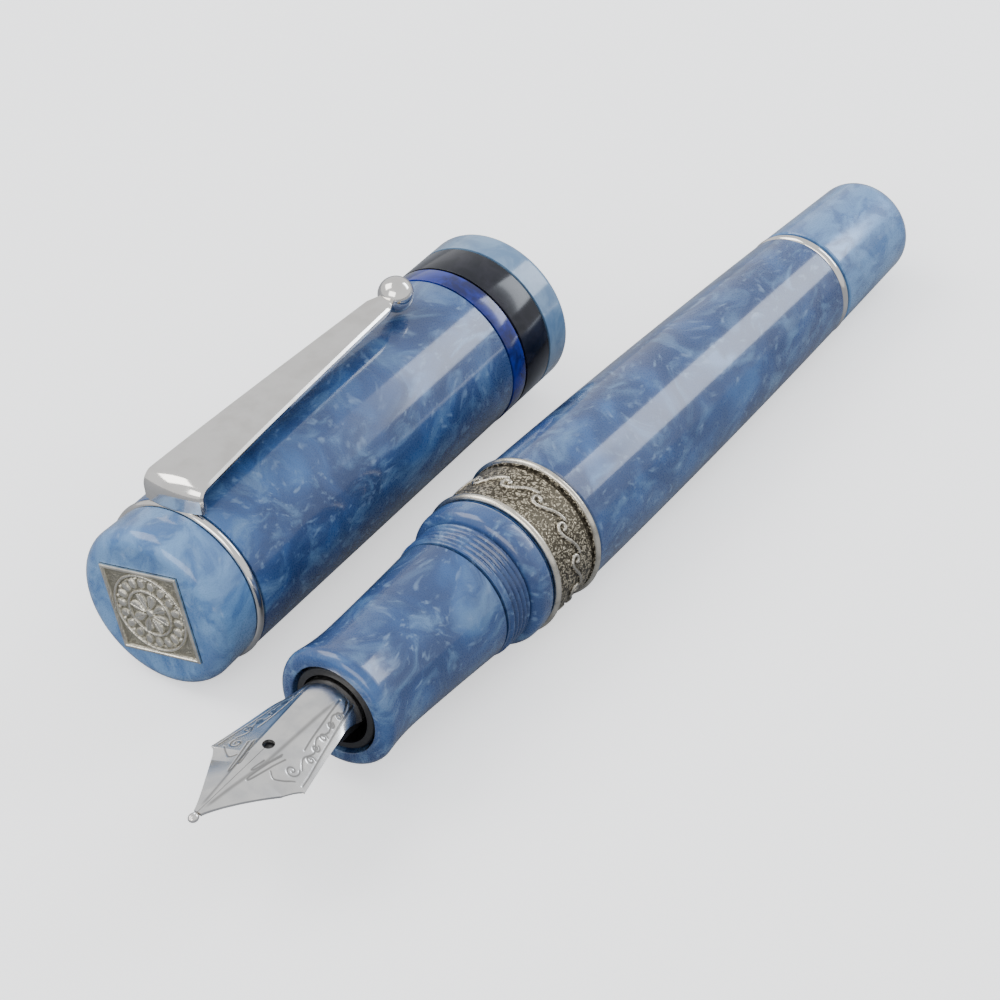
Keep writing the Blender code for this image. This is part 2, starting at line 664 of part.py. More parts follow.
def lay_out():
    lean = math.asin(pen_slope())
    along = (KNOB_REAR + NIB_TIP) / 2 * math.cos(lean)
    yaw = math.radians(CAP_YAW)
    half_width = (CAP_SPACING + CAP_R + CAP_MOUTH * math.sin(yaw) + BAND_R) / 2
    pen_x = half_width - BAND_R
    bead = -GAP / 2 - (BAND_R - BAND_FIELD_R)
    height = BAND_R * math.cos(lean) + bead * math.sin(lean)
    pen = add_empty("pen_axis", (pen_x, -along, height), (-math.pi / 2 - lean, 0, 0))
    cap = add_empty("cap_axis", (pen_x - CAP_SPACING, -along, CAP_R), (-math.pi / 2, 0, yaw))
    badge = add_empty("badge_axis", (0, 0, 0), (0, 0, math.radians(BADGE_ANGLE)), cap)
    angle = math.radians(CLIP_ANGLE)
    hinge = (CAP_R * math.sin(angle), -CAP_R * math.cos(angle), CLIP_HINGE)
    clip = add_empty("clip_hinge", hinge, (0, 0, angle), cap)
    return pen, cap, badge, clip


clear_scene()
parts = new_collection("fountain_pen")
cutters = new_collection("cutters")
pen_axis, cap_axis, badge_axis, clip_hinge = lay_out()
make_barrel(pen_axis)
make_band(pen_axis)
make_thread_collar(pen_axis)
make_grip_section(pen_axis)
make_housing(pen_axis)
make_nib(pen_axis)
make_pellet(pen_axis)
make_feed(pen_axis)
make_chamber(pen_axis)
make_guide(pen_axis)
make_bush(pen_axis)
make_knob_ring(pen_axis)
make_piston(pen_axis)
make_knob(pen_axis)
make_cap_tube(cap_axis)
make_cap_lip(cap_axis)
make_cap_inside(cap_axis)
cap_finial = make_finial(cap_axis)
make_badge(cap_finial, badge_axis)
make_clip(clip_hinge)
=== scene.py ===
"""Looks of the piston-filling fountain pen and its cap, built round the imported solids.

Lengths are in millimetres until a point is placed. Each turned piece is drawn as (r, s) points
about the pen's axis or the cap's, whose places and sizes are read from the solids they replace.
"""

import json
import math
from collections import namedtuple

import bmesh
import bpy
import numpy as np
from mathutils import Matrix, Vector

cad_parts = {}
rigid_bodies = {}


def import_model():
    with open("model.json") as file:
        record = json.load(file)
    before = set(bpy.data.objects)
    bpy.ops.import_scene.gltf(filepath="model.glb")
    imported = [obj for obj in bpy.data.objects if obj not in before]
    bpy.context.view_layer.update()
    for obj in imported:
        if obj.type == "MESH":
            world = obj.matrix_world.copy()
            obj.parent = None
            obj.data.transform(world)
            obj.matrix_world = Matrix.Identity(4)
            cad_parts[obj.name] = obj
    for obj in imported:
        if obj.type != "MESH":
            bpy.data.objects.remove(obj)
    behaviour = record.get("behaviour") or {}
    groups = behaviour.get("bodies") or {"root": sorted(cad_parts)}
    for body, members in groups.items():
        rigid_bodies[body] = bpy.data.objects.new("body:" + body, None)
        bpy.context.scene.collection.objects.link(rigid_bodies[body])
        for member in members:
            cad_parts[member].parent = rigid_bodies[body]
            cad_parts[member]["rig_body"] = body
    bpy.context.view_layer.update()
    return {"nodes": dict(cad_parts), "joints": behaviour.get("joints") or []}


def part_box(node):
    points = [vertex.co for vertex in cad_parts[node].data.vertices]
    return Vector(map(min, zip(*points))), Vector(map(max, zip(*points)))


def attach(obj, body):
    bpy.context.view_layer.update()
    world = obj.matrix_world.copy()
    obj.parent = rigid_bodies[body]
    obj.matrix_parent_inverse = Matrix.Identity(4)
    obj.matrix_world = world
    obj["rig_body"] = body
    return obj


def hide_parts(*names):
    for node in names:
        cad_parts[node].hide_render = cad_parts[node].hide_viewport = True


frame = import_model()

MM = 0.001
AROUND = 160
EDGE = 0.15          # small rounding on turned edges
THREAD_DEPTH = 0.3
THREAD_PITCH = 0.74
ON_ROOT = 0.01       # how near a thread's root a turned point counts as on it
TAU = 2 * math.pi
Reach = namedtuple("Reach", "front rear outer inner")
JOINTS = {joint["name"]: joint for joint in frame["joints"]}


# ---------------------------------------------------------------- axes

class Axis:
    """A turning axis: s runs along it towards +Y, x across it to +X, and y across it upwards."""

    def __init__(self, origin, along, roll=0.0):
        self.origin = np.array(origin, float)
        self.along = np.array(along, float) / np.linalg.norm(along)
        side = np.cross(self.along, (0, 0, 1))
        side /= np.linalg.norm(side)
        up = np.cross(side, self.along)
        self.side = side * math.cos(roll) - up * math.sin(roll)
        self.up = np.cross(self.side, self.along)

    def place(self, x, y, s):
        """Row-frame metres of points given in millimetres on this axis."""
        x, y, s = np.broadcast_arrays(x, y, s)
        local = x[..., None] * self.side + y[..., None] * self.up + s[..., None] * self.along
        return (self.origin + local) * MM

    def measure(self, node):
        """Distance along the axis and from it of every corner of a solid."""
        mesh = frame["nodes"][node].data
        co = np.empty(len(mesh.vertices) * 3)
        mesh.vertices.foreach_get("co", co)
        local = co.reshape(-1, 3) / MM - self.origin
        s = local @ self.along
        return s, np.linalg.norm(local - s[:, None] * self.along, axis=1)

    def reach(self, node):
        """Front and rear along the axis, and outer and inner radius, of a solid."""
        s, r = self.measure(node)
        return Reach(s.min(), s.max(), r.max(), r.min())


def centre_mm(node):
    """Centre of a solid's box."""
    low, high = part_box(node)
    return (np.array(low) + np.array(high)) / 2 / MM


PEN = Axis(np.array(JOINTS["knob_turn"]["pos_m"]) / MM, JOINTS["knob_turn"]["axis"])
CAP = Axis(centre_mm("cap_tube"), JOINTS["cap_slide"]["axis"])
HINGE = np.array(JOINTS["clip_flex"]["pos_m"]) / MM - CAP.origin
CLIP = Axis(CAP.origin, CAP.along, math.atan2(HINGE @ CAP.side, HINGE @ CAP.up))
BADGE_HALF = 5.1
BADGE_ROLL = math.radians(-14)
BADGE = Axis(CAP.origin, CAP.along, BADGE_ROLL)


# ---------------------------------------------------------------- shader maths

class Number:
    """A shader socket that takes part in ordinary arithmetic."""

    def __init__(self, shader, socket):
        self.shader = shader
        self.socket = socket

    def _maths(self, operation, other, swap=False):
        if swap:
            return self.shader.maths(operation, other, self)
        return self.shader.maths(operation, self, other)

    def __add__(self, other):
        return self._maths("ADD", other)

    def __radd__(self, other):
        return self._maths("ADD", other)

    def __sub__(self, other):
        return self._maths("SUBTRACT", other)

    def __rsub__(self, other):
        return self._maths("SUBTRACT", other, True)

    def __mul__(self, other):
        return self._maths("MULTIPLY", other)

    def __rmul__(self, other):
        return self._maths("MULTIPLY", other)


class Shader:
    """A material whose nodes are made by method calls."""

    def __init__(self, name):
        self.material = bpy.data.materials.new(name)
        self.material.use_nodes = True
        self.tree = self.material.node_tree
        self.surface = self.tree.nodes["Principled BSDF"]

    def node(self, kind, inputs=(), **settings):
        made = self.tree.nodes.new(kind)
        for key, value in settings.items():
            setattr(made, key, value)
        for key, value in dict(inputs).items():
            self.join(made.inputs[key], value)
        return made

    def join(self, socket, value):
        if isinstance(value, Number):
            self.tree.links.new(value.socket, socket)
        else:
            socket.default_value = value

    def maths(self, operation, first, second):
        made = self.node("ShaderNodeMath", {0: first, 1: second}, operation=operation)
        return Number(self, made.outputs[0])

    def position(self):
        """Object coordinates in millimetres."""
        made = self.node("ShaderNodeTexCoord")
        return self.vector("SCALE", Number(self, made.outputs["Object"]), scale=1 / MM)

    def vector(self, operation, first, second=None, scale=None):
        made = self.node("ShaderNodeVectorMath", operation=operation)
        self.join(made.inputs[0], first)
        if second is not None:
            self.join(made.inputs[1], second)
        if scale is not None:
            self.join(made.inputs["Scale"], scale)
        return Number(self, made.outputs[0])

    def noise(self, where, scale, detail=4.0, roughness=0.5, distortion=0.0, colour=False):
        made = self.node("ShaderNodeTexNoise", {"Vector": where, "Scale": scale, "Detail": detail,
                                                "Roughness": roughness, "Distortion": distortion})
        return Number(self, made.outputs["Color" if colour else "Fac"])

    def cells(self, where, scale, randomness=1.0):
        made = self.node("ShaderNodeTexVoronoi", {"Vector": where, "Scale": scale,
                                                  "Randomness": randomness})
        return Number(self, made.outputs["Distance"])

    def step(self, value, low, high, to_low=0.0, to_high=1.0):
        made = self.node("ShaderNodeMapRange", {"Value": value, "From Min": low, "From Max": high,
                                                "To Min": to_low, "To Max": to_high},
                         interpolation_type="SMOOTHSTEP")
        return Number(self, made.outputs["Result"])

    def mix(self, share, first, second):
        made = self.node("ShaderNodeMix", data_type="RGBA")
        first_colour, second_colour, mixed_colour = 6, 7, 2
        self.join(made.inputs["Factor"], share)
        self.join(made.inputs[first_colour], first)
        self.join(made.inputs[second_colour], second)
        return Number(self, made.outputs[mixed_colour])

    def attribute(self, name):
        made = self.node("ShaderNodeAttribute", attribute_name=name)
        return Number(self, made.outputs["Fac"])

    def bump(self, height, distance_mm, strength=1.0):
        made = self.node("ShaderNodeBump", {"Height": height, "Distance": distance_mm * MM,
                                            "Strength": strength})
        return Number(self, made.outputs["Normal"])

    def finish(self, **inputs):
        for key, value in inputs.items():
            self.join(self.surface.inputs[key.replace("_", " ")], value)
        return self.material


def rgb(red, green, blue):
    return (red, green, blue, 1.0)


# ---------------------------------------------------------------- materials

DEEP_BLUE = rgb(0.023, 0.054, 0.155)
MID_BLUE = rgb(0.030, 0.078, 0.218)
LIGHT_BLUE = rgb(0.050, 0.138, 0.340)
LAVENDER = rgb(0.050, 0.072, 0.170)
PALE_BLUE = rgb(0.130, 0.245, 0.435)
PEARL = rgb(0.250, 0.380, 0.580)
PALER_BLUE = rgb(0.185, 0.370, 0.670)


def marbled_resin(name, lightness=0.0):
    """Polished pearl resin: deep and mid blue clouds under pale stretched wisps and flecks."""
    shader = Shader(name)
    where = shader.position()
    drift = shader.noise(where, 0.07, 2.0, colour=True)
    drift = shader.vector("SUBTRACT", drift, (0.5, 0.5, 0.5))
    bent = shader.vector("ADD", shader.vector("SCALE", drift, scale=14.0), where)
    stretched = shader.vector("MULTIPLY", bent, (1.0, 0.55, 0.8))
    clouds = shader.noise(bent, 0.17, 4.0, 0.5)
    wisps = shader.noise(stretched, 0.42, 6.0, 0.6, 0.6)
    flecks = shader.noise(stretched, 1.3, 2.5, 0.5, 0.2)
    veil = shader.noise(bent, 0.08, 2.0)
    deep = tuple(a + (b - a) * lightness * 0.8 for a, b in zip(DEEP_BLUE, LIGHT_BLUE))
    middle = tuple(a + (b - a) * lightness * 0.8 for a, b in zip(MID_BLUE, LIGHT_BLUE))
    colour = shader.mix(shader.step(clouds, 0.34, 0.62), deep, middle)
    light_share = shader.step(clouds, 0.50 - lightness * 0.12, 0.76 - lightness * 0.2)
    colour = shader.mix(light_share, colour, LIGHT_BLUE)
    colour = shader.mix(shader.step(veil, 0.46, 0.64, 0.0, 0.35), colour, LAVENDER)
    cloudy = shader.step(wisps, 0.47 - lightness * 0.12, 0.76 - lightness * 0.06, 0.0, 0.85)
    colour = shader.mix(cloudy, colour, PALE_BLUE)
    bright = shader.step(flecks, 0.56, 0.78, 0.0, 0.5)
    colour = shader.mix(bright, colour, PEARL)
    if lightness:
        colour = shader.mix(shader.step(wisps, 0.36, 0.66, 0.1, 0.65), colour, PALER_BLUE)
    fine = shader.noise(where, 6.0, 2.0)
    return shader.finish(Base_Color=colour, Roughness=shader.step(fine, 0.3, 0.7, 0.24, 0.34),
                         Metallic=cloudy * 0.2, Coat_Weight=1.0, Coat_Roughness=0.10,
                         Specular_IOR_Level=0.25, Coat_IOR=1.45)


def plain_resin(name, dark, light, roughness=0.15, scale=0.5, coat=0.85):
    """Polished resin of one colour, with faint clouds in it."""
    shader = Shader(name)
    where = shader.position()
    clouds = shader.noise(where, scale, 5.0, 0.6, 0.5)
    colour = shader.mix(shader.step(clouds, 0.38, 0.64), dark, light)
    fine = shader.noise(where, 7.0, 2.0)
    rough = shader.step(fine, 0.3, 0.7, roughness, roughness + 0.08)
    return shader.finish(Base_Color=colour, Roughness=rough, Specular_IOR_Level=0.15,
                         Coat_Weight=coat, Coat_Roughness=0.12)


def polished_metal(name, colour, dull, roughness=0.07):
    """Bright plate with faint clouding and hairline polish marks."""
    shader = Shader(name)
    where = shader.position()
    clouds = shader.noise(where, 0.35, 3.0)
    along = shader.vector("MULTIPLY", where, (6.0, 0.4, 6.0))
    hairs = shader.noise(along, 3.0, 3.0, 0.6)
    tint = shader.mix(shader.step(clouds, 0.35, 0.7), colour, dull)
    rough = shader.step(hairs, 0.3, 0.75, roughness, roughness + 0.09)
    return shader.finish(Base_Color=tint, Metallic=1.0, Roughness=rough,
                         Normal=shader.bump(hairs, 0.004, 0.35))


def worn_silver(name, grain, ground_mid, dark, light, top):
    """Antiqued silver: hollows darkened by tarnish and painted shade, a granular ground, and rubbed
    bright relief.
    """
    shader = Shader(name)
    where = shader.position()
    relief = shader.attribute("relief")
    uneven = shader.vector("ADD", where, shader.noise(where, 1.5, 2.0, colour=True))
    grains = shader.cells(uneven, grain)
    fine = shader.noise(where, 9.0, 4.0, 0.6)
    tarnish = shader.noise(where, 0.5, 4.0, 0.6)
    grain_top = shader.step(grains, 0.12, 0.62, 1.0, 0.0)
    dull_top = rgb(*(0.62 * part for part in top[:3]))
    top = shader.mix(shader.step(tarnish, 0.35, 0.7), top, dull_top)
    ground = shader.mix(grain_top, dark, light)
    colour = shader.mix(shader.step(relief, ground_mid + 0.1, 0.9), ground, top)
    # Where the relief attribute is low the colour is darkened: tarnish in the hollows and painted
    # shade.
    hollow = shader.step(relief, 0.05, ground_mid - 0.05, 1.0, 0.0)
    colour = shader.mix(hollow * 0.8, colour, rgb(*(0.5 * part for part in dark[:3])))
    on_ground = shader.step(relief, ground_mid + 0.1, 0.9, 1.0, 0.0)
    bumps = grain_top * on_ground + fine * 0.2
    return shader.finish(Base_Color=colour, Metallic=1.0, Normal=shader.bump(bumps, 0.10, 0.9),
                         Roughness=shader.step(on_ground, 0.0, 1.0, 0.20, 0.42))


def nib_steel(name):
    """Polished steel, darker in its engraved lines, with painted shade along the panel creases."""
    shader = Shader(name)
    where = shader.position()
    cut_in = shader.attribute("relief")
    along = shader.vector("MULTIPLY", where, (5.0, 0.5, 5.0))
    hairs = shader.noise(along, 4.0, 3.0, 0.6)
    clouds = shader.noise(where, 0.5, 3.0)
    steel = shader.mix(shader.step(clouds, 0.35, 0.7), rgb(0.80, 0.78, 0.75), rgb(0.68, 0.67, 0.66))
    # Darker where the relief attribute is high: the engraved lines, and painted shade along the panel
    # creases.
    colour = shader.mix(shader.step(cut_in, 0.1, 1.0, 0.0, 0.75), steel, rgb(0.16, 0.155, 0.15))
    rough = shader.step(hairs, 0.3, 0.75, 0.17, 0.27)
    return shader.finish(Base_Color=colour, Metallic=1.0, Roughness=rough,
                         Normal=shader.bump(hairs, 0.004, 0.3))


def satin_black(name, roughness=0.32):
    """Black plastic or rubber with a fine grain."""
    shader = Shader(name)
    where = shader.position()
    grain = shader.noise(where, 5.0, 4.0, 0.6)
    colour = shader.mix(shader.step(grain, 0.3, 0.7), rgb(0.008, 0.008, 0.009),
                        rgb(0.022, 0.022, 0.024))
    rough = shader.step(grain, 0.3, 0.7, roughness, roughness + 0.12)
    return shader.finish(Base_Color=colour, Roughness=rough, Normal=shader.bump(grain, 0.01, 0.3))


def machined_brass(name):
    """Brass with the marks of turning round it."""
    shader = Shader(name)
    where = shader.position()
    lines = shader.noise(shader.vector("MULTIPLY", where, (0.4, 8.0, 0.4)), 2.0, 3.0, 0.6)
    colour = shader.mix(shader.step(lines, 0.3, 0.7), rgb(0.62, 0.44, 0.19), rgb(0.48, 0.33, 0.14))
    rough = shader.step(lines, 0.3, 0.7, 0.2, 0.36)
    return shader.finish(Base_Color=colour, Metallic=1.0, Roughness=rough)


RESIN = marbled_resin("marbled_blue_resin")
LIGHT_RESIN = marbled_resin("marbled_light_resin", lightness=1.0)
SILVER = polished_metal("polished_silver", rgb(0.84, 0.81, 0.77), rgb(0.74, 0.71, 0.67))
ANTIQUE = worn_silver("antique_silver", 3.4, 0.5, rgb(0.09, 0.077, 0.055), rgb(0.70, 0.62, 0.47),
                      rgb(0.84, 0.78, 0.66))
BADGE_SILVER = worn_silver("badge_silver", 5.0, 0.25, rgb(0.56, 0.53, 0.44), rgb(0.66, 0.62, 0.52),
                           rgb(0.84, 0.80, 0.70))
BLACK = satin_black("satin_black")
BRASS = machined_brass("machined_brass")
RUBBER = satin_black("seal_rubber", 0.55)


# ---------------------------------------------------------------- mesh helpers

def grid_faces(rows, columns, close_rows=False, close_columns=False, first=0):
    """Quads over a grid of rows and columns, numbered row by row."""
    i = np.arange(rows if close_rows else rows - 1)
    j = np.arange(columns if close_columns else columns - 1)
    i, j = np.meshgrid(i, j, indexing="ij")
    after_i = (i + 1) % rows
    after_j = (j + 1) % columns
    corners = (i * columns + j, i * columns + after_j,
               after_i * columns + after_j, after_i * columns + j)
    return (np.stack(corners, -1).reshape(-1, 4) + first).tolist()


def add_piece(name, points, faces, look, node, relief=None, sharp=38):
    """A finished mesh that stands for a solid and moves with its body."""
    mesh = bpy.data.meshes.new(name)
    mesh.from_pydata(points.reshape(-1, 3).tolist(), [], faces)
    if relief is not None:
        layer = mesh.attributes.new("relief", "FLOAT", "POINT")
        layer.data.foreach_set("value", np.ascontiguousarray(relief, np.float32).ravel())
    bm = bmesh.new()
    bm.from_mesh(mesh)
    bmesh.ops.remove_doubles(bm, verts=bm.verts, dist=0.0005 * MM)
    bmesh.ops.recalc_face_normals(bm, faces=bm.faces)
    bm.to_mesh(mesh)
    bm.free()
    mesh.shade_smooth()
    mesh.set_sharp_from_angle(angle=math.radians(sharp))
    mesh.materials.append(look)
    piece = bpy.data.objects.new(name, mesh)
    bpy.context.scene.collection.objects.link(piece)
    settle(piece, node)
    return piece


def block(x, y, z):
    """A box of the given size, to be cut out of a piece."""
    shape = bmesh.new()
    bmesh.ops.create_cube(shape, size=1)
    bmesh.ops.scale(shape, vec=(x * MM, y * MM, z * MM), verts=shape.verts)
    return shape


def cut(piece, shape, axis, x, y, s):
    """Cut a shape out of a piece, its X, Y and Z along the axis's side, up and length."""
    mesh = bpy.data.meshes.new("cutter")
    shape.to_mesh(mesh)
    shape.free()
    cutter = bpy.data.objects.new("cutter", mesh)
    bpy.context.scene.collection.objects.link(cutter)
    turned = Matrix((axis.side, axis.up, axis.along)).transposed().to_4x4()
    cutter.matrix_world = Matrix.Translation(Vector(axis.place(x, y, s))) @ turned
    boolean = piece.modifiers.new("cut", "BOOLEAN")
    boolean.object = cutter
    boolean.operation = "DIFFERENCE"
    bpy.context.view_layer.update()
    evaluated = piece.evaluated_get(bpy.context.evaluated_depsgraph_get())
    shaped = bpy.data.meshes.new_from_object(evaluated)
    piece.modifiers.remove(boolean)
    piece.data = shaped
    bpy.data.objects.remove(cutter)


def settle(piece, node):
    """Let a piece move with a solid's body, and stand for the solid."""
    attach(piece, frame["nodes"][node]["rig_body"])
    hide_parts(node)


def arc(centre_r, centre_s, radius, start, end, points=6):
    """(r, s) points on an arc whose angle, in degrees, runs from +r towards +s."""
    angles = np.radians(np.linspace(start, end, points + 1))
    return [(centre_r + radius * math.cos(a), centre_s + radius * math.sin(a)) for a in angles]


def lathe(name, axis, outline, look, node, closed=True, around=AROUND, relief=None, show_relief=False):
    """Turn an outline; relief(r, s, angle) gives what is added to the radius."""
    r, s = (np.array(values, float)[:, None] for values in zip(*outline))
    angle = np.linspace(0, TAU, around, endpoint=False)[None, :]
    extra = np.zeros((len(outline), around)) if relief is None else relief(r, s, angle)
    radius = r + extra
    points = axis.place(radius * np.sin(angle), radius * np.cos(angle), s + 0 * angle)
    faces = grid_faces(len(outline), around, closed, True)
    return add_piece(name, points, faces, look, node, extra if show_relief else None)


def ring_outline(outer, inner, front, rear, edge=EDGE):
    """A plain ring with its outer edges rounded."""
    outline = arc(outer - edge, rear - edge, edge, 90, 0, 4)
    outline += arc(outer - edge, front + edge, edge, 0, -90, 4)
    return outline + [(inner, front), (inner, rear)]


def near(points_x, points_y, lines):
    """Distance of each point from the nearest of some polylines."""
    flat = np.stack([points_x.ravel(), points_y.ravel()], 1)
    best = np.full(len(flat), 1e9)
    for line in lines:
        line = np.array(line, float)
        low, high = line.min(0) - 0.6, line.max(0) + 0.6
        inside = np.all((flat > low) & (flat < high), 1)
        if not inside.any():
            continue
        here = flat[inside]
        closest = np.full(len(here), 1e9)
        for start, end in zip(line, line[1:]):
            run = end - start
            share = np.clip(((here - start) @ run) / max(run @ run, 1e-12), 0, 1)
            gap = np.linalg.norm(here - start - share[:, None] * run, axis=1)
            closest = np.minimum(closest, gap)
        best[inside] = np.minimum(best[inside], closest)
    return best.reshape(points_x.shape)


def spiral(x, y, start_r, end_r, start, end, points=26):
    """Points on a spiral about (x, y); angles in degrees."""
    angles = np.radians(np.linspace(start, end, points))
    radii = np.linspace(start_r, end_r, points)
    return [(x + r * math.cos(a), y + r * math.sin(a)) for r, a in zip(radii, angles)]


def smooth(value, low, high):
    """An eased step from 0 at low to 1 at high."""
    share = np.clip((value - low) / (high - low), 0, 1)
    return share * share * (3 - 2 * share)


# ---------------------------------------------------------------- pen body

def make_barrel():
    """The barrel's curve is fitted to the solid's outside, which its bore lies well within."""
    body = PEN.reach("barrel")
    least_outer = 6
    s, r = PEN.measure("barrel")
    stations = np.unique(np.round(s, 2))
    outer = [r[np.abs(s - at) < 0.02].max() for at in stations]
    keep = [(at, radius) for at, radius in zip(stations, outer) if radius > least_outer]
    at, radius = (np.array(column) for column in zip(*keep))
    shape = np.polyfit(at, radius, 2)
    fine = np.linspace(body.rear - EDGE, body.front + EDGE, 40)
    inner = body.inner
    outline = [(np.polyval(shape, body.rear) - EDGE, body.rear)]
    outline += [(np.polyval(shape, value), value) for value in fine]
    outline += [(np.polyval(shape, body.front) - EDGE, body.front), (inner + 1, body.front)]
    outline += [(inner, body.front + 1), (inner, body.rear)]
    lathe("barrel_resin", PEN, outline, RESIN, "barrel")


def make_knob():
    """Turning knob whose rear edge is well rounded."""
    knob = PEN.reach("turning_knob")
    round_r = 2.6
    end_r = knob.outer - 0.6
    outline = [(0, knob.rear)] + arc(end_r - round_r, knob.rear - round_r, round_r, 90, 2, 14)
    outline += [(knob.outer, knob.front + EDGE), (knob.outer - EDGE, knob.front), (0, knob.front)]
    lathe("knob_resin", PEN, outline, LIGHT_RESIN, "turning_knob", closed=False)


def make_knob_ring():
    """Half-round silver ring in front of the knob."""
    ring = PEN.reach("knob_ring")
    outline = arc(ring.outer - 0.55, (ring.front + ring.rear) / 2, 0.6, 80, -80, 10)
    outline += [(ring.inner, ring.front), (ring.inner, ring.rear)]
    lathe("knob_ring_silver", PEN, outline, SILVER, "knob_ring")


def make_collar():
    """Bulged collar, then a groove and five rounded threads that wind about the axis."""
    collar = PEN.reach("thread_collar")
    band = PEN.reach("barrel_band")
    bulge_width = 3.0
    shoulder = band.front - 0.15
    collar_front = shoulder - bulge_width
    root = collar.outer - 0.9 - THREAD_DEPTH
    turns = 5
    bore = collar.inner
    outline = [(collar.outer - 1.3, collar.rear), (collar.outer - 1.3, shoulder)]
    outline += [(collar.outer - 0.2, shoulder)]
    outline += arc(collar.outer - 0.7, shoulder - 0.7, 0.7, 80, 0, 6)
    outline += arc(collar.outer - 1.2, collar_front + 1.2, 1.2, 0, -80, 8)
    outline += [(root, collar_front)]
    start = collar_front - 0.1
    end = collar.front + 0.1
    pitch = (start - end) / turns
    rows = np.linspace(start, end, turns * 12)
    outline += [(root, value) for value in rows]
    outline += [(root, collar.front), (bore, collar.front), (bore, collar.rear)]

    def thread(r, s, angle):
        phase = (start - s) / pitch + angle / TAU
        wave = (0.5 - 0.5 * np.cos(TAU * phase)) ** 0.6
        fade = smooth(s, end, end + 0.25) * smooth(-s, -start, -start + 0.25)
        on = (np.abs(r - root) < ON_ROOT) & (s <= start) & (s >= end)
        return np.where(on, THREAD_DEPTH * wave * fade, 0)

    lathe("collar_resin", PEN, outline, RESIN, "thread_collar", relief=thread)


def make_grip():
    """Grip section that narrows to a waist and swells to a rolled lip."""
    grip = PEN.reach("grip_section")
    collar = PEN.reach("thread_collar")
    rear = collar.front - 0.3
    waist_at = grip.front + 5.8
    waist_r, rear_r, lip_r, lip_round = 6.3, 6.9, 6.68, 1.1
    mouth = PEN.reach("nib_housing").outer + 0.3
    outline = [(mouth, rear + 2), (rear_r - 1.5, rear + 2), (rear_r - 1.5, rear), (rear_r - EDGE, rear)]
    for value in np.linspace(rear - EDGE, waist_at, 26):
        share = (value - waist_at) / (rear - waist_at)
        outline.append((waist_r + (rear_r - waist_r) * share ** 1.3, value))
    for value in np.linspace(waist_at, grip.front + lip_round, 12)[1:]:
        share = (waist_at - value) / (waist_at - grip.front - lip_round)
        outline.append((waist_r + (lip_r - waist_r) * share ** 2, value))
    outline += arc(lip_r - lip_round, grip.front + lip_round, lip_round, 0, -90, 10)[1:]
    outline += arc(mouth + 0.2, grip.front + 0.2, 0.2, -90, -180, 4)
    lathe("grip_resin", PEN, outline, RESIN, "grip_section")


def make_housing():
    """Black sleeve that holds the nib and the feed."""
    housing = PEN.reach("nib_housing")
    outline = ring_outline(housing.outer, housing.inner, housing.front, housing.rear, 0.25)
    lathe("housing_black", PEN, outline, BLACK, "nib_housing")


# ---------------------------------------------------------------- engraved band

def through(points, steps=6):
    """A smooth line through some points."""
    points = np.array(points, float)
    ends = np.vstack([2 * points[0] - points[1], points, 2 * points[-1] - points[-2]])
    out = []
    for p0, p1, p2, p3 in zip(ends, ends[1:], ends[2:], ends[3:]):
        for share in np.arange(steps) / steps:
            out.append(0.5 * (2 * p1 + (p2 - p0) * share + (2 * p0 - 5 * p1 + 4 * p2 - p3) * share ** 2
                              + (3 * p1 - p0 - 3 * p2 + p3) * share ** 3))
    return out + [points[-1]]


# One wave of the band's scroll: (round the band, along the pen), from the hook to the tail's point
WAVE = [(0.22, 0.12), (0.20, 0.36), (-0.06, 0.50), (-0.42, 0.38), (-0.58, 0.04), (-0.44, -0.34),
        (-0.02, -0.56), (0.50, -0.48), (1.14, -0.12), (1.84, 0.38), (2.60, 0.76), (3.30, 0.90)]
WAVE_PERIOD = 3.84
FIRST_WAVE = math.radians(-6)


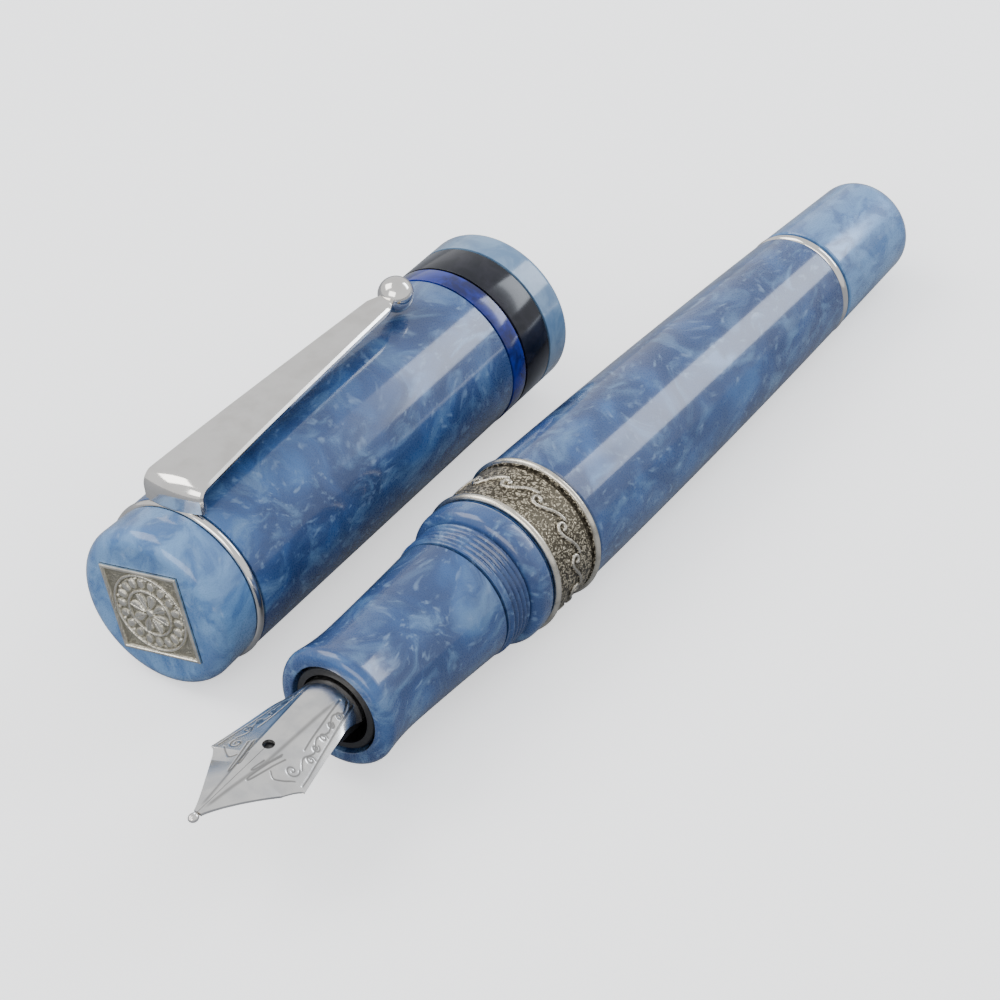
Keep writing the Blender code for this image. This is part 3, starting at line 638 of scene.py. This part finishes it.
def make_band():
    """Two beads, a hollow darkened by tarnish and painted shade, and a running scroll of waves on a
    granular field.
    """
    band = PEN.reach("barrel_band")
    waves, columns = 13, 56
    field_r, hollow_r, bead = band.outer - 0.40, band.outer - 0.62, 0.36
    outline = arc(band.outer - bead, band.rear - bead, bead, 88, -75, 12)
    outline += [(hollow_r, band.rear - 2 * bead - 0.1), (hollow_r - 0.04, band.rear - 2 * bead - 0.4)]
    outline += [(hollow_r, band.rear - 2 * bead - 0.62)]
    high, low = band.rear - 2 * bead - 0.74, band.front + 0.98
    rows = np.linspace(high, low, 74)
    outline += [(field_r, value) for value in rows]
    outline += [(hollow_r + 0.06, low - 0.1)]
    outline += arc(band.outer - 0.43, band.front + 0.43, 0.43, 65, -88, 12)
    outline += [(band.inner, band.front), (band.inner, band.rear)]
    period = TAU * field_r / waves
    curve = np.array(through(WAVE)) * (period / WAVE_PERIOD, 1)
    lines = [curve + (period * turn, 0) for turn in (-1, 0, 1)]
    middle = (low + high) / 2 + 0.05
    angle = np.linspace(0, TAU, waves * columns, endpoint=False)[None, :]
    r, s = (np.array(values, float)[:, None] for values in zip(*outline))
    along = (angle[:, :columns] - FIRST_WAVE) * field_r + 0 * s
    along = (along + period / 2) % period - period / 2
    gap = np.tile(near(along, s - middle + 0 * along, lines), (1, waves))
    field = (s <= high) & (s >= low) + 0 * gap.astype(bool)
    wire_r, wire_height, moat_at, moat_half, moat_depth = 0.21, 0.22, 0.30, 0.12, 0.05
    wire = np.sqrt(np.clip(1 - (gap / wire_r) ** 2, 0, 1))
    moat = np.clip(1 - np.abs(gap - moat_at) / moat_half, 0, 1)
    radius = r + np.where(field, wire_height * wire - moat_depth * moat, 0)
    # Relief values for the shader: 1.0 on the beads, 0.8 on the wire, 0.5 on the field, lower in the
    # moat beside the wire, and 0 in the hollows; low values are darkened as tarnish and painted shade.
    shown = np.where(field, np.where(gap < wire_r, 0.8, 0.5 - 0.5 * moat), 0)
    shown = np.where(r > hollow_r + 0.12, np.where(field, shown, 1.0), shown)
    points = PEN.place(radius * np.sin(angle), radius * np.cos(angle), s + 0 * angle)
    faces = grid_faces(len(outline), waves * columns, True, True)
    add_piece("band_silver", points, faces, ANTIQUE, "barrel_band", shown)


# ---------------------------------------------------------------- nib and feed

CURL_SWEEP = 470     # degrees
NIB_SHOULDER = 11.7  # distance of the wings' corners from the mouth
NIB_NOTCH = 1.6      # length over which the wings step in ahead of their corners
NIB_WIDE = 5.55      # half width at the corners
NIB_STEP = 4.25      # half width ahead of the notch
NIB_POINT = 0.42     # half width at the point
NIB_FALL = 1.75      # how far the wings' corners lie below the ridge
NIB_FIT = 0.3        # between the nib and the housing's bore


def nib_shape(u, d, length, base_r):
    """Across and up from the axis, for share u across the nib (-1 to 1) at distance d."""
    behind = base_r + (NIB_WIDE - base_r) * np.clip(d / NIB_SHOULDER, 0, 1) ** 1.25
    step_in = NIB_SHOULDER + NIB_NOTCH
    t = np.clip((d - step_in) / (length - step_in), 0, 1)
    ahead = NIB_POINT + (NIB_STEP - NIB_POINT) * (1 - t) ** 1.12
    notch = NIB_WIDE + (NIB_STEP - NIB_WIDE) * np.clip((d - NIB_SHOULDER) / NIB_NOTCH, 0, 1) ** 0.6
    half = np.where(d <= NIB_SHOULDER, behind, np.where(d < step_in, notch, ahead))
    ridge = base_r - 0.052 * np.clip(d, 0, 10) - 0.038 * np.clip(d - 10, 0, 99)
    panel = (1.65 - 0.062 * np.clip(d, 0, 20)) * (1 - 0.6 * t)
    panel = np.minimum(panel, half * 0.6)
    size = np.abs(u)
    panel_share = 0.3
    across = np.where(size < panel_share, size / panel_share * panel,
                      panel + (size - panel_share) / (1 - panel_share) * (half - panel))
    fall_total = (NIB_FALL * (1 - t) ** 1.1 + 0.02) * smooth(d, -2, 5)
    fall_total = fall_total * np.where(d > NIB_SHOULDER, half / NIB_WIDE * 0.5 + 0.5, 1)
    fall_share = np.clip((across - panel) / np.maximum(half - panel, 1e-6), 0, 1)
    fall = fall_total * fall_share ** 0.9
    facet_x = np.sign(u) * across
    facet_y = ridge - fall
    turn = u * math.radians(82)
    round_x = base_r * np.sin(turn)
    round_y = base_r * np.cos(turn)
    share = smooth(d, -0.5, 5.0)
    return round_x * (1 - share) + facet_x * share, round_y * (1 - share) + facet_y * share


def nib_engraving():
    """Borders, a vine with curls, and two tongues, for one wing, as lines of (across, distance)."""
    edge = [(2.75, 0.4), (3.05, 2.0), (3.5, 4.5), (4.15, 7.5), (4.75, 10.0), (5.0, 11.3)]
    lines = [through(edge), through([(1.85, 1.2), (2.15, 4.0), (2.45, 6.4), (2.75, 8.0)])]
    vine = [(2.3, 0.6), (2.75, 1.8), (2.35, 3.1), (3.05, 4.6), (2.75, 6.1), (3.5, 7.5), (3.2, 8.8)]
    vine.append((3.9, 9.9))
    lines.append(through(vine))
    curls = [(2.75, 2.5, 0.36, 200, 1), (2.75, 3.9, 0.36, 20, -1), (3.1, 5.5, 0.42, 200, 1),
             (3.3, 7.0, 0.42, 20, -1), (3.75, 8.4, 0.46, 200, 1), (3.3, 10.65, 0.72, 60, -1)]
    for across, distance, radius, start, way in curls:
        lines.append(spiral(across, distance, 0.12, radius, start, start + way * CURL_SWEEP, 26))
    lines.append(through([(2.2, 10.2), (1.75, 12.0), (1.2, 14.4), (1.02, 14.2), (1.3, 12.2),
                          (1.75, 10.2)]))
    lines.append(through([(1.7, 10.0), (1.25, 12.0), (0.85, 13.4), (0.72, 13.2), (0.95, 11.8)]))
    lines.append(through([(4.2, 11.4), (3.3, 12.2), (2.6, 12.6), (2.0, 12.2)]))
    return lines


def make_nib():
    nib = PEN.reach("nib")
    mouth = PEN.reach("grip_section").front
    housing = PEN.reach("nib_housing")
    length = mouth - nib.front
    base_r = housing.inner - NIB_FIT
    step_in = NIB_SHOULDER + NIB_NOTCH
    rows = np.concatenate([np.linspace(-8, 0, 12)[:-1], np.linspace(0, NIB_SHOULDER, 150)[:-1],
                           np.linspace(NIB_SHOULDER, step_in, 30)[:-1],
                           np.linspace(step_in, length, 90)])
    shares = np.linspace(-1, 1, 163)
    u, d = np.meshgrid(shares, rows)
    x, y = nib_shape(u, d, length, base_r)
    gap = near(np.abs(x), d, nib_engraving())
    cut_half_width, cut_depth, sheet = 0.13, 0.035, 0.36
    cut_in = np.clip(1 - (gap / cut_half_width) ** 2, 0, 1)
    crease_at = np.abs(nib_shape(0.34 + 0 * u, d, length, base_r)[0])
    # Painted shade: a soft dark line along each panel crease, fading in at the base and out near the
    # point.
    painted_crease_shade = np.exp(-((np.abs(x) - crease_at) / 0.22) ** 2) * smooth(d, 0, 3) * smooth(length - d, 0, 2)
    top = np.stack([x, y, mouth - d], -1)
    normal = np.cross(np.gradient(top, axis=1), np.gradient(top, axis=0))
    normal /= np.linalg.norm(normal, axis=2, keepdims=True)
    if normal[0, len(shares) // 2, 1] < 0:
        normal = -normal
    engraved = top - normal * (cut_depth * cut_in)[..., None]
    under = top - normal * sheet
    both = np.concatenate([engraved.reshape(-1, 3), under.reshape(-1, 3)])
    count_rows, count = u.shape
    faces = grid_faces(count_rows, count)
    faces += grid_faces(count_rows, count, first=count_rows * count)
    faces += rim_faces(count_rows, count)
    points = PEN.place(both[:, 0], both[:, 1], both[:, 2])
    # The relief attribute carries the engraved lines and the painted crease shade, which the shader
    # darkens.
    marks = np.concatenate([np.maximum(cut_in, 0.75 * painted_crease_shade).ravel(), 0 * cut_in.ravel()])
    piece = add_piece("nib_steel", points, faces, nib_steel("engraved_steel"), "nib", marks, sharp=28)
    cut_nib(piece, mouth, length, base_r)


def rim(rows, columns):
    """Numbers of the points round the edge of a grid."""
    edge = [(0, j) for j in range(columns)] + [(i, columns - 1) for i in range(1, rows)]
    edge += [(rows - 1, j) for j in range(columns - 2, -1, -1)]
    edge += [(i, 0) for i in range(rows - 2, 0, -1)]
    return [i * columns + j for i, j in edge]


def rim_faces(rows, columns):
    """Quads that join the edge of one grid to the same grid's copy that follows it."""
    index = rim(rows, columns)
    shift = rows * columns
    return [(a, b, b + shift, a + shift) for a, b in zip(index, index[1:] + index[:1])]


def cut_nib(piece, mouth, length, base_r):
    """The breather hole and the slit that runs from it to the point."""
    breather_at, breather_r, slit, tall = 9.9, 0.62, 0.05, 4
    slit_length = length - breather_at + 1
    height = base_r - 1.0
    drill = bmesh.new()
    bmesh.ops.create_cone(drill, cap_ends=True, segments=40, radius1=breather_r * MM,
                          radius2=breather_r * MM, depth=tall * MM,
                          matrix=Matrix.Rotation(math.pi / 2, 4, "X"))
    cut(piece, drill, PEN, 0.0, height, mouth - breather_at)
    gash = block(slit, tall, slit_length)
    cut(piece, gash, PEN, 0.0, height, mouth - breather_at - slit_length / 2)


def make_pellet():
    """The hard pellet on the nib's point, split by the slit into two halves."""
    pellet = PEN.reach("nib_point")
    centre = centre_mm("nib_point") - PEN.origin
    s = centre @ PEN.along
    height = centre @ PEN.up
    half = (pellet.rear - pellet.front) / 2
    angle = np.linspace(0, math.pi, 25)[:, None]
    turn = np.linspace(0, TAU, 48, endpoint=False)[None, :]
    half_width, half_height, ahead = 0.5, 0.42, 0.05
    x = half_width * np.sin(angle) * np.cos(turn)
    y = half_height * np.sin(angle) * np.sin(turn)
    along = (half + ahead) * np.cos(angle) + 0 * turn + ahead
    groove = smooth(np.abs(x), 0.0, 0.07)
    points = PEN.place(x, height + y * (0.85 + 0.15 * groove), s + along)
    add_piece("nib_pellet", points, grid_faces(25, 48, False, True), SILVER, "nib_point")


def make_feed():
    """Black feed under the nib: a keel with fins that thins towards the point."""
    mouth = PEN.reach("grip_section").front
    feed = PEN.reach("feed")
    housing = PEN.reach("nib_housing")
    reach = mouth - feed.front
    base_r = housing.inner - NIB_FIT
    belly_r = base_r - 0.1
    fins, first_fin, fin_pitch, fin_gap, jog = 11, 1.6, 0.62, 0.3, 0.001
    rows = [-11.0, 0.8]
    for fin in range(fins):
        start = first_fin + fin * fin_pitch
        rows += [start, start + jog, start + fin_gap, start + fin_gap + jog]
    rows += list(np.linspace(8.8, reach, 12))
    length = mouth - PEN.reach("nib").front
    turn = np.linspace(0, 1, 21)
    points = []
    for index, d in enumerate(rows):
        share = max(0.0, d / reach)
        width = belly_r * 0.82 * (1 - 0.86 * share ** 2.2)
        depth = belly_r * (1 - 1.12 * share ** 1.5)
        slot = 2 <= index < 2 + 4 * fins and (index - 2) % 4 in (1, 2)
        squeeze = 0.86 if slot else 1.0
        u = np.linspace(-1, 1, 21)
        x, y = nib_shape(u * 0.75, np.full(21, max(d, 0.0)), length, base_r)
        scale = width / max(abs(x[-1]), 1e-6)
        x = x * min(1.0, scale)
        top_y = y - 0.55
        low_x = width * squeeze * np.cos(math.pi * turn)
        side = top_y[-1]
        low_y = side - (side + depth * squeeze) * np.sin(math.pi * turn)
        ring_x = np.concatenate([x, low_x[1:-1]])
        ring_y = np.concatenate([top_y, low_y[1:-1]])
        points.append(PEN.place(ring_x, ring_y, mouth - d + 0 * ring_x))
    rings = np.array(points)
    count = rings.shape[1]
    faces = grid_faces(len(rows), count, False, True)
    faces += [tuple(range(count)), tuple(range((len(rows) - 1) * count, len(rows) * count))]
    add_piece("feed_black", rings, faces, BLACK, "feed")


# ---------------------------------------------------------------- cap

def make_cap():
    """Cap tube, its two dark bands, and the pale lip at the open end."""
    tube = CAP.reach("cap_tube")
    outline = ring_outline(tube.outer, tube.inner, tube.front, tube.rear, 0.08)
    lathe("cap_resin", CAP, outline, RESIN, "cap_tube")
    blue = plain_resin("cobalt_resin", rgb(0.002, 0.006, 0.075), rgb(0.006, 0.022, 0.260),
                       0.08, 0.30)
    black = plain_resin("near_black_resin", rgb(0.003, 0.004, 0.009), rgb(0.014, 0.014, 0.022),
                        0.12, 0.35, 0.55)
    pale = plain_resin("pale_blue_resin", rgb(0.125, 0.225, 0.375), rgb(0.200, 0.320, 0.480),
                       0.14, 0.3)
    for name, look in (("cap_blue_band", blue), ("cap_black_band", black)):
        ring = CAP.reach(name)
        outline = ring_outline(ring.outer, ring.inner, ring.front, ring.rear, 0.06)
        lathe(name + "_resin", CAP, outline, look, name)
    lip = CAP.reach("cap_lip")
    round_r = 0.85
    outline = arc(lip.outer - round_r, lip.rear - round_r, round_r, 90, 0, 10)
    outline += [(lip.outer, lip.front), (lip.inner, lip.front)]
    outline += [(lip.inner, lip.rear - 0.2), (lip.inner + 0.1, lip.rear)]
    lathe("lip_resin", CAP, outline, pale, "cap_lip")


def make_cap_inside():
    """Threaded sleeve in the mouth, and the inner cap beyond it."""
    sleeve = CAP.reach("cap_thread_sleeve")
    root = sleeve.inner + THREAD_DEPTH
    rows = np.linspace(sleeve.front + 0.2, sleeve.rear - 0.2, 90)
    outline = [(sleeve.outer, sleeve.rear), (sleeve.outer, sleeve.front), (root, sleeve.front)]
    outline += [(root, value) for value in rows]
    outline += [(root, sleeve.rear)]

    def thread(r, s, angle):
        phase = s / THREAD_PITCH + angle / TAU
        on = (np.abs(r - root) < ON_ROOT) & (s > rows[0]) & (s < rows[-1])
        return np.where(on, -THREAD_DEPTH * (0.5 - 0.5 * np.cos(TAU * phase)), 0)

    lathe("sleeve_black", CAP, outline, BLACK, "cap_thread_sleeve", relief=thread, around=96)
    inner = CAP.reach("inner_cap")
    wall = inner.outer - 0.9
    floor = inner.front + 2.0
    outline = [(0, floor), (wall - 0.8, floor)] + arc(wall - 0.8, floor + 0.8, 0.8, -90, 0, 6)[1:]
    outline += [(wall, inner.rear), (inner.outer, inner.rear)]
    outline += [(inner.outer, inner.front), (0, inner.front)]
    lathe("inner_cap_black", CAP, outline, BLACK, "inner_cap", closed=False, around=96)


def make_finial():
    """Ring round the clip's root, and the finial with a recess for its badge."""
    ring = CAP.reach("clip_ring")
    outline = arc(ring.outer - 0.45, (ring.front + ring.rear) / 2, 0.5, 85, -85, 10)
    outline += [(ring.inner, ring.front), (ring.inner, ring.rear)]
    lathe("clip_ring_silver", CAP, outline, SILVER, "clip_ring")
    finial = CAP.reach("finial")
    round_r = 1.8
    outline = [(0, finial.rear), (finial.outer - 0.1, finial.rear)]
    outline += arc(finial.outer - round_r, finial.front + round_r, round_r, 0, -90, 16)
    outline += [(0, finial.front)]
    piece = lathe("finial_resin", CAP, outline, LIGHT_RESIN, "finial", closed=False)
    recess, recess_depth = 2 * BADGE_HALF + 0.12, 1.1
    cut(piece, block(recess, recess, 2 * recess_depth), BADGE, 0.0, 0.0, finial.front)


def badge_height(x, y):
    """Relief of the badge: a framed square, a rope ring, a ring of petals and a rosette."""
    r = np.hypot(x, y)
    turn = np.arctan2(y, x)
    edge = np.maximum(np.abs(x), np.abs(y))
    height = smooth(edge, BADGE_HALF - 0.42, BADGE_HALF - 0.30)
    rope = np.clip(1 - ((r - 4.50) / 0.17) ** 2, 0, 1) ** 0.5 * 0.8
    inner_ring = np.clip(1 - ((r - 2.66) / 0.17) ** 2, 0, 1) ** 0.5 * 0.8
    petals = 18
    phase = (turn / TAU * petals) % 1 - 0.5
    petal = np.clip(1 - (phase / 0.40) ** 2 - ((r - 3.58) / 0.66) ** 2, 0, 1) ** 0.5 * 0.95
    between = (turn / TAU * petals + 0.5) % 1 - 0.5
    beads = np.clip(1 - (between / 0.17) ** 2 - ((r - 4.1) / 0.2) ** 2, 0, 1) ** 0.5
    leaves = 8
    leaf_phase = (turn / TAU * leaves) % 1 - 0.5
    leaf_width = 0.46 * np.clip(1 - ((r - 1.40) / 1.05) ** 2, 0, 1) ** 0.6
    dome = np.clip(1 - (leaf_phase / np.maximum(leaf_width, 0.02)) ** 2, 0, 1) ** 0.5
    leaf = np.where(leaf_width > 0.02, dome, 0)
    vein = np.clip(1 - (leaf_phase * r / 0.06) ** 2, 0, 1) * 0.35
    boss = np.clip(1 - (r / 0.5) ** 2, 0, 1) ** 0.5
    parts_of_it = [height, rope, inner_ring, petal, beads * 0.7, leaf * 0.9 - vein * (leaf > 0), boss]
    return np.clip(np.max(parts_of_it, axis=0), 0, 1)


def make_badge():
    """Square plate whose face carries the relief."""
    badge = CAP.reach("finial_badge")
    count = 210
    span = np.linspace(-BADGE_HALF, BADGE_HALF, count)
    x, y = np.meshgrid(span, span)
    height = badge_height(x, y)
    bevel = smooth(BADGE_HALF - np.maximum(np.abs(x), np.abs(y)), 0.0, 0.12)
    relief_depth, edge_drop = 0.34, 0.1
    front = badge.front + relief_depth * (1 - height * 0.95) + edge_drop * (1 - bevel)
    top = np.stack([x, y, front], -1).reshape(-1, 3)
    back = np.stack([x, y, np.full_like(x, badge.rear)], -1).reshape(-1, 3)
    both = np.concatenate([top, back])
    faces = grid_faces(count, count) + rim_faces(count, count)
    faces.append(tuple(count * count + index for index in rim(count, count)))
    used = sorted({index for face in faces for index in face})
    renumber = {old: new for new, old in enumerate(used)}
    faces = [tuple(renumber[index] for index in face) for face in faces]
    both = both[used]
    marks = np.concatenate([height.ravel(), np.ones(count * count)])[used]
    points = BADGE.place(both[:, 0], both[:, 1], both[:, 2])
    add_piece("badge_silver", points, faces, BADGE_SILVER, "finial_badge", marks)


# ---------------------------------------------------------------- clip

def make_clip():
    """A strip that stands up out of its ring, bends over and narrows towards the ball."""
    ring = CAP.reach("clip_ring")
    ball = CLIP.reach("clip_ball")
    ball_centre = (ball.front + ball.rear) / 2
    thick, root_half, neck_half = 1.15, 3.8, 1.55
    root_s = ring.front + thick / 2
    root_top = (np.array(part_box("clip_arm")[1]) / MM - CLIP.origin)[2] / CLIP.up[2] - 0.1
    neck_top = root_top - 0.1
    bend = 1.45
    path = [(root_s, ring.outer - 0.25), (root_s, ring.outer + 0.1)]
    centre_s, centre_h = root_s + bend, root_top - thick / 2 - bend
    for angle in np.radians(np.linspace(180, 92, 14)):
        path.append((centre_s + bend * math.cos(angle), centre_h + bend * math.sin(angle)))
    neck_s = ball_centre - 1.6
    for share in np.linspace(0.02, 1, 44):
        path.append((centre_s + (neck_s - centre_s) * share,
                     root_top - thick / 2 + (neck_top - root_top) * share))
    path = np.array(path)
    run = np.gradient(path, axis=0)
    run /= np.linalg.norm(run, axis=1, keepdims=True)
    share = np.clip((path[:, 0] - centre_s) / (neck_s - centre_s), 0, 1)
    half = root_half + (neck_half - root_half) * share ** 0.95
    half = half * (1 - 0.42 * smooth(path[:, 0], neck_s - 1.7, neck_s))
    depth = thick * (1 - 0.15 * share)
    sections = []
    for (s, h), (run_s, run_h), wide, deep, along in zip(path, run, half, depth, share):
        across, out = clip_profile(wide, deep, 11.0 + 16.0 * along)
        sections.append(CLIP.place(across, h + out * run_s, s - out * run_h))
    rings = np.array(sections)
    count = rings.shape[1]
    faces = grid_faces(len(rings), count, False, True)
    faces += [tuple(range(count)), tuple(range((len(rings) - 1) * count, len(rings) * count))]
    add_piece("clip_silver", rings, faces, SILVER, "clip_arm", sharp=30)
    make_ball(ball_centre, ball)


def clip_profile(wide, deep, crown_r):
    """Section of the strip: a crown that follows the cap, narrow bevels and a hollow back."""
    bevel = 0.22
    across = np.linspace(-1, 1, 19) * (wide - bevel)
    out = deep / 2 - across ** 2 / (2 * crown_r)
    drop = wide ** 2 / (2 * crown_r)
    lip = 0.18
    side = [(wide, deep / 2 - drop - bevel), (wide, deep / 2 - drop - bevel - lip),
            (wide * 0.86, -deep / 2 - drop)]
    back = np.linspace(0.8, -0.8, 9) * wide
    across = list(across) + [x for x, _ in side] + list(back) + [-x for x, _ in reversed(side)]
    out = list(out) + [y for _, y in side]
    out += [-deep / 2 - drop] * len(back) + [y for _, y in reversed(side)]
    return np.array(across), np.array(out)


def make_ball(centre_s, ball):
    """Polished ball at the clip's free end."""
    radius = (ball.rear - ball.front) / 2
    centre = centre_mm("clip_ball") - CLIP.origin
    height = centre @ CLIP.up
    angle = np.linspace(0, math.pi, 41)[:, None]
    turn = np.linspace(0, TAU, 72, endpoint=False)[None, :]
    x = radius * np.sin(angle) * np.cos(turn)
    y = radius * np.sin(angle) * np.sin(turn)
    points = CLIP.place(x, height + y, centre_s + radius * np.cos(angle) + 0 * turn)
    add_piece("clip_ball_silver", points, grid_faces(41, 72, False, True), SILVER, "clip_ball")


# ---------------------------------------------------------------- stage

KEY_WIDTH = 0.25     # metres
KEY_POWER = 25.0     # watts per square metre
# The long lamp behind fades towards its front: (middle along Y, length, share of full power)
KEY_STRIPS = [(0.235, 0.04, 0.1), (0.275, 0.04, 0.22), (0.395, 0.20, 1.0)]
LENS = 107.5         # millimetres, with a sensor 36 wide
CAMERA_AT = (0.1449, -0.2079, 0.2067)
CAMERA_TURN = math.radians(34.29)
CAMERA_DROP = math.radians(39.11)


def make_stage():
    """Floor, even surroundings, and the lamps."""
    bpy.ops.mesh.primitive_plane_add(size=4)
    floor = bpy.context.object
    floor.name = "floor"
    paper = Shader("white_paper")
    seen = paper.node("ShaderNodeLightPath").outputs["Is Camera Ray"]
    fibre = paper.noise(paper.position(), 0.02, 2.0)
    near_white = paper.mix(fibre, rgb(0.90, 0.90, 0.91), rgb(0.93, 0.93, 0.935))
    lit = paper.mix(Number(paper, seen), rgb(0.24, 0.25, 0.27), near_white)
    glow = paper.mix(Number(paper, seen), rgb(0, 0, 0), rgb(1.0, 1.0, 1.0))
    paper.finish(Base_Color=lit, Emission_Color=glow, Emission_Strength=0.9, Roughness=0.8)
    floor.data.materials.append(paper.material)
    world = bpy.data.worlds.new("studio")
    bpy.context.scene.world = world
    world.use_nodes = True
    world.node_tree.nodes["Background"].inputs["Color"].default_value = rgb(0.95, 0.97, 1.0)
    world.node_tree.nodes["Background"].inputs["Strength"].default_value = 1.0
    for number, (y, length, share) in enumerate(KEY_STRIPS):
        power = KEY_POWER * length * KEY_WIDTH * share
        size = (length, KEY_WIDTH)
        lamp(f"key_{number}", (0.172, y, 0.250), (0.01, y, 0.01), size, power, (0.84, 0.91, 1.0))
    lamp("left_fill", (-0.60, -0.25, 0.75), (0, 0, 0), (0.6, 0.6), 5.0, (1.0, 0.99, 0.97))
    lamp("front_fill", (0.10, -0.80, 0.55), (0, 0, 0), (0.7, 0.5), 4.0, (1.0, 0.99, 0.97))


def lamp(name, where, target, size, power, colour):
    """A rectangular lamp aimed at a target, in metres and watts."""
    data = bpy.data.lights.new(name, "AREA")
    data.shape = "RECTANGLE"
    data.size, data.size_y = size
    data.energy = power
    data.color = colour
    light = bpy.data.objects.new(name, data)
    bpy.context.scene.collection.objects.link(light)
    light.location = where
    light.rotation_euler = (Vector(target) - Vector(where)).to_track_quat("-Z", "Y").to_euler()


def make_camera():
    """Camera above the nib, looking along both pieces."""
    data = bpy.data.cameras.new("camera")
    data.sensor_width = 36
    data.lens = LENS
    camera = bpy.data.objects.new("camera", data)
    bpy.context.scene.collection.objects.link(camera)
    camera.location = CAMERA_AT
    camera.rotation_euler = (math.pi / 2 - CAMERA_DROP, 0, CAMERA_TURN)
    bpy.context.scene.camera = camera


# ---------------------------------------------------------------- build

make_barrel()
make_knob()
make_knob_ring()
make_collar()
make_grip()
make_housing()
make_band()
make_nib()
make_pellet()
make_feed()
make_cap()
make_cap_inside()
make_finial()
make_badge()
make_clip()
for inner, finish in (("piston_rod", BRASS), ("piston_guide", BRASS), ("spindle", BRASS),
                      ("spindle_bush", BRASS), ("finial_stud", BRASS), ("piston_seal", RUBBER),
                      ("section_seal", RUBBER), ("ink_chamber", BLACK)):
    for slot in frame["nodes"][inner].material_slots:
        slot.material = finish
make_stage()
make_camera()
